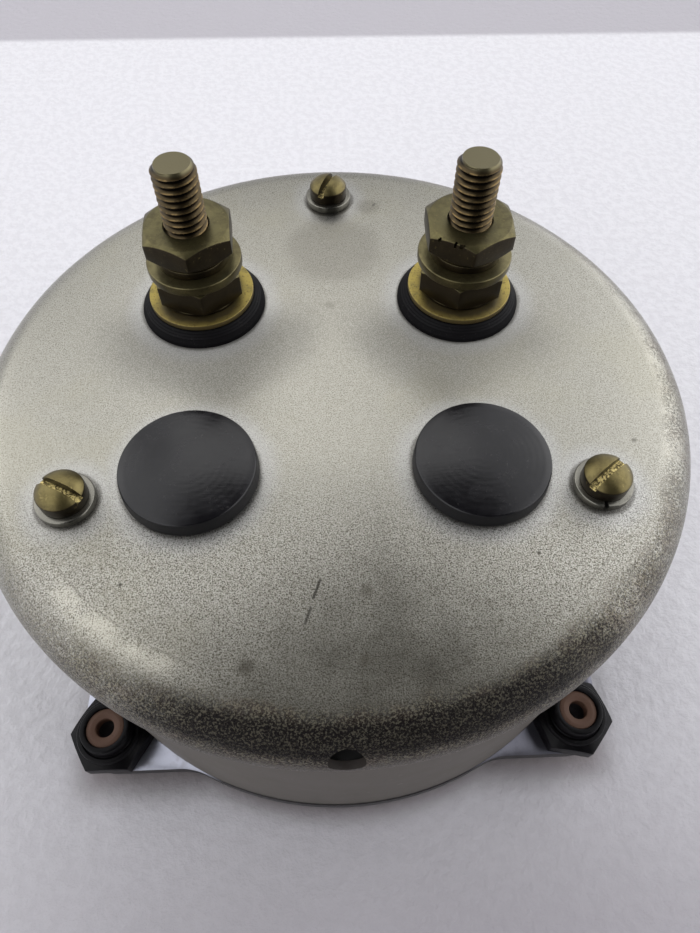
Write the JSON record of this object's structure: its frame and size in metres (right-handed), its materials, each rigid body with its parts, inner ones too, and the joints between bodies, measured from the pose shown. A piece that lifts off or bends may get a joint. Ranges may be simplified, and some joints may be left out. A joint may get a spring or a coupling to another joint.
{
  "type": "oil quantity gauge",
  "caption": "Round panel instrument with square mounting ears, a shallow screwed rear cover, threaded terminal studs and a moving-coil pointer movement behind a glass dial.",
  "frame": {"origin": "centre of the front rim's resting face, on the staff's axis", "axes": "+Z from the front rim towards the rear cover and the terminal studs; +Y towards the top of the instrument as it is fitted in a panel"},
  "size_m": [0.084, 0.084, 0.0628],
  "materials": {
    "black_enamel": "satin black enamel",
    "seal_rubber": "flat black rubber",
    "window_glass": "clear flat glass",
    "spring_steel": "blued spring steel",
    "matte_black": "dead matt black",
    "dial_face": "matt black with plain white scale",
    "black_steel": "black oxide",
    "pointer_white": "matt white paint",
    "bright_brass": "clean machined brass",
    "case_paint": "smooth olive-grey paint",
    "fibre_ring": "red-brown vulcanised fibre",
    "plated_steel": "zinc-plated steel",
    "hairspring_bronze": "phosphor bronze strip",
    "bare_aluminium": "bare aluminium",
    "enamelled_wire": "enamelled copper wire",
    "soft_iron": "soft iron",
    "magnet_steel": "dark magnet steel",
    "fibre_board": "brown laminated insulator",
    "cover_paint": "speckled aluminium-grey paint, worn and grimy at the edge",
    "screw_brass": "brass with a dark tarnish",
    "tinned_steel": "tinned",
    "black_bakelite": "black moulded phenolic",
    "tarnished_brass": "olive-brown tarnish",
    "tinned_brass": "tinned brass",
    "yellow_brass": "yellow brass, lightly tarnished",
    "lead_cloth": "braided cloth sleeving"
  },
  "bodies": {
    "housing": {"bezel": "black_enamel", "glass_seal": "seal_rubber", "glass": "window_glass", "glass_ring": "spring_steel", "spacer_ring": "matte_black", "dial": "dial_face", "dial_screws": "black_steel", "case": "case_paint", "mounting_nuts": "black_steel", "nut_lock_rings": "fibre_ring", "movement_frame": "bright_brass", "frame_screws": "plated_steel", "front_bearing": "bright_brass", "front_hairspring": "hairspring_bronze", "core": "soft_iron", "core_supports": "bright_brass", "pole_shoe_left": "soft_iron", "pole_shoe_right": "soft_iron", "shoe_screws": "plated_steel", "magnet": "magnet_steel", "rear_hairspring": "hairspring_bronze", "rear_bridge": "bright_brass", "bridge_screws": "plated_steel", "jewel_screw": "bright_brass", "jewel_lock_nut": "bright_brass", "resistor_bobbin": "fibre_board", "resistor_winding": "enamelled_wire", "resistor_screw": "plated_steel", "cover_pillars": "bright_brass", "rear_cover": "cover_paint", "cover_screws": "screw_brass", "cover_lock_washers": "tinned_steel", "plug_left": "black_bakelite", "plug_right": "black_bakelite", "bush_left": "black_bakelite", "bush_right": "black_bakelite", "insulator_left": "fibre_board", "insulator_right": "fibre_board", "stud_left": "tarnished_brass", "stud_right": "tarnished_brass", "lug_left": "tinned_brass", "lug_right": "tinned_brass", "base_washer_left": "yellow_brass", "base_washer_right": "yellow_brass", "lower_nut_left": "tarnished_brass", "lower_nut_right": "tarnished_brass", "clamp_washer_left": "tarnished_brass", "clamp_washer_right": "tarnished_brass", "lead_left": "lead_cloth", "lead_right": "lead_cloth"},
    "pointer_assembly": {"pointer": "pointer_white", "pointer_weight": "bright_brass", "front_staff": "plated_steel", "coil_former": "bare_aluminium", "coil_winding": "enamelled_wire", "rear_pivot": "plated_steel"},
    "washer_carrier_left": {"nut_washer_left": "tarnished_brass"},
    "terminal_nut_left": {"upper_nut_left": "tarnished_brass"},
    "washer_carrier_right": {"nut_washer_right": "tarnished_brass"},
    "terminal_nut_right": {"upper_nut_right": "tarnished_brass"}
  },
  "joints": [
    {"name": "pointer_swing", "type": "hinge", "parent": "housing", "child": "pointer_assembly", "pos_m": [0, 0, 0.02], "axis": [0, 0, 1], "range_deg": [0, 100], "stiffness_Nm_per_rad": 0.00002},
    {"name": "nut_rise_left", "type": "slide", "parent": "housing", "child": "washer_carrier_left", "axis": [0, 0, 1], "range_m": [0, 0.00714]},
    {"name": "nut_turn_left", "type": "hinge", "parent": "washer_carrier_left", "child": "terminal_nut_left", "pos_m": [-0.0158, 0.0121, 0.052], "axis": [0, 0, 1], "range_deg": [0, 3240]},
    {"name": "nut_rise_right", "type": "slide", "parent": "housing", "child": "washer_carrier_right", "axis": [0, 0, 1], "range_m": [0, 0.00714]},
    {"name": "nut_turn_right", "type": "hinge", "parent": "washer_carrier_right", "child": "terminal_nut_right", "pos_m": [0.0158, 0.0121, 0.052], "axis": [0, 0, 1], "range_deg": [0, 3240]}
  ],
  "couplings": [
    {"joint": "nut_turn_left", "follows": "nut_rise_left", "rad_per_m": 7915.8},
    {"joint": "nut_turn_right", "follows": "nut_rise_right", "rad_per_m": 7915.8}
  ]
}
